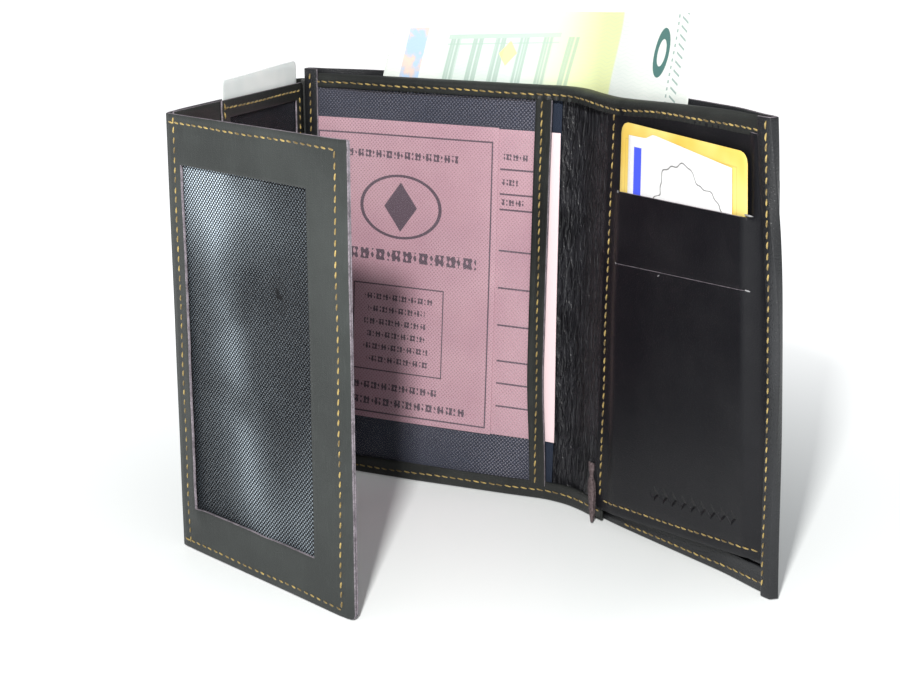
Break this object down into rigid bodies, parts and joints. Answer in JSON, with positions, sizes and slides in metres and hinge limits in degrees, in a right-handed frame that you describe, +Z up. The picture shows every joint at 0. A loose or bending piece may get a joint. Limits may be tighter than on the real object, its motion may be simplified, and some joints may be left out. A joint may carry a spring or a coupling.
{
  "type": "bifold wallet",
  "caption": "Upright leather bifold wallet with a fold-out double leaf, mesh document windows, card slots and a banknote compartment, standing open.",
  "frame": {"origin": "middle of the footprint of the standing wallet, on the ground", "axes": "+Z up, +X along the back cover from its free edge towards the spine, +Y out through the back cover"},
  "size_m": [0.2024, 0.1272, 0.168],
  "materials": {
    "shell_leather": "dark green-black calf, satin",
    "smooth_leather": "smooth dark grey-green leather",
    "card_leather": "glazed near-black leather",
    "grained_leather": "soft grained leather",
    "navy_fabric": "navy pocket cloth",
    "window_mesh": "fine diagonal mesh",
    "lining_fabric": "black lining twill",
    "gold_thread": "ochre sewing thread",
    "brown_leather": "raw brown leather",
    "pink_paper": "coated pink paper",
    "note_paper": "printed cotton paper",
    "yellow_card": "yellow card",
    "white_card": "white card"
  },
  "bodies": {
    "back_cover": {"shell_back": "shell_leather", "shell_spine": "shell_leather", "lining_back": "lining_fabric", "lining_spine": "lining_fabric", "divider_back": "grained_leather", "divider_spine": "grained_leather", "document_pocket_back": "navy_fabric", "document_window_mesh": "window_mesh", "top_band_back": "smooth_leather", "top_band_spine": "smooth_leather", "bottom_hem_back": "smooth_leather", "left_bar": "smooth_leather", "mouth_strip": "smooth_leather", "thread_document_frame": "gold_thread", "leaf_1_fold": "smooth_leather", "banknote": "note_paper"},
    "front_cover": {"shell_front": "shell_leather", "lining_front": "lining_fabric", "divider_front": "grained_leather", "top_band_front": "smooth_leather", "card_panel": "card_leather", "upper_slot_lining": "lining_fabric", "lower_slot_lining": "lining_fabric", "spine_tag": "brown_leather", "thread_card_panel": "gold_thread", "thread_shell_hem": "gold_thread"},
    "leaf_1": {"leaf_1_outer": "smooth_leather", "leaf_1_inner": "smooth_leather", "leaf_1_pocket_frame": "smooth_leather", "leaf_1_pocket_mesh": "window_mesh", "thread_leaf_1": "gold_thread", "leaf_2_fold": "smooth_leather"},
    "leaf_2": {"leaf_2_frame": "smooth_leather", "leaf_2_window_mesh": "window_mesh", "leaf_2_backing": "smooth_leather", "thread_leaf_2": "gold_thread"},
    "document": {"document": "pink_paper"},
    "yellow_card": {"yellow_card": "yellow_card"},
    "paper_tag": {"paper_tag": "white_card"},
    "white_card": {"white_card": "white_card"}
  },
  "joints": [
    {"name": "front_cover_turn", "type": "hinge", "parent": "back_cover", "child": "front_cover", "pos_m": [0.00766, 0.05187, 0.07], "axis": [0, 0, -1], "range_deg": [-29.5, 145], "deforming": ["shell_spine", "lining_spine", "divider_spine", "top_band_spine", "banknote", "spine_tag"]},
    {"name": "leaf_1_turn", "type": "hinge", "parent": "back_cover", "child": "leaf_1", "pos_m": [-0.09804, 0.05587, 0.07], "axis": [0, 0, -1], "range_deg": [-36, 99], "deforming": ["leaf_1_fold"]},
    {"name": "leaf_2_turn", "type": "hinge", "parent": "leaf_1", "child": "leaf_2", "pos_m": [-0.08218, -0.03597, 0.07], "axis": [0, 0, 1], "range_deg": [-62, 112], "deforming": ["leaf_2_fold"]},
    {"name": "document_slide", "type": "slide", "parent": "back_cover", "child": "document", "axis": [1, 0, 0], "range_m": [0, 0.006]},
    {"name": "yellow_card_slide", "type": "slide", "parent": "front_cover", "child": "yellow_card", "axis": [0, 0, 1], "range_m": [0, 0.02]},
    {"name": "paper_tag_slide", "type": "slide", "parent": "front_cover", "child": "paper_tag", "axis": [0, 0, 1], "range_m": [0, 0.008]},
    {"name": "white_card_slide", "type": "slide", "parent": "leaf_1", "child": "white_card", "axis": [0, 0, 1], "range_m": [0, 0.06]}
  ]
}
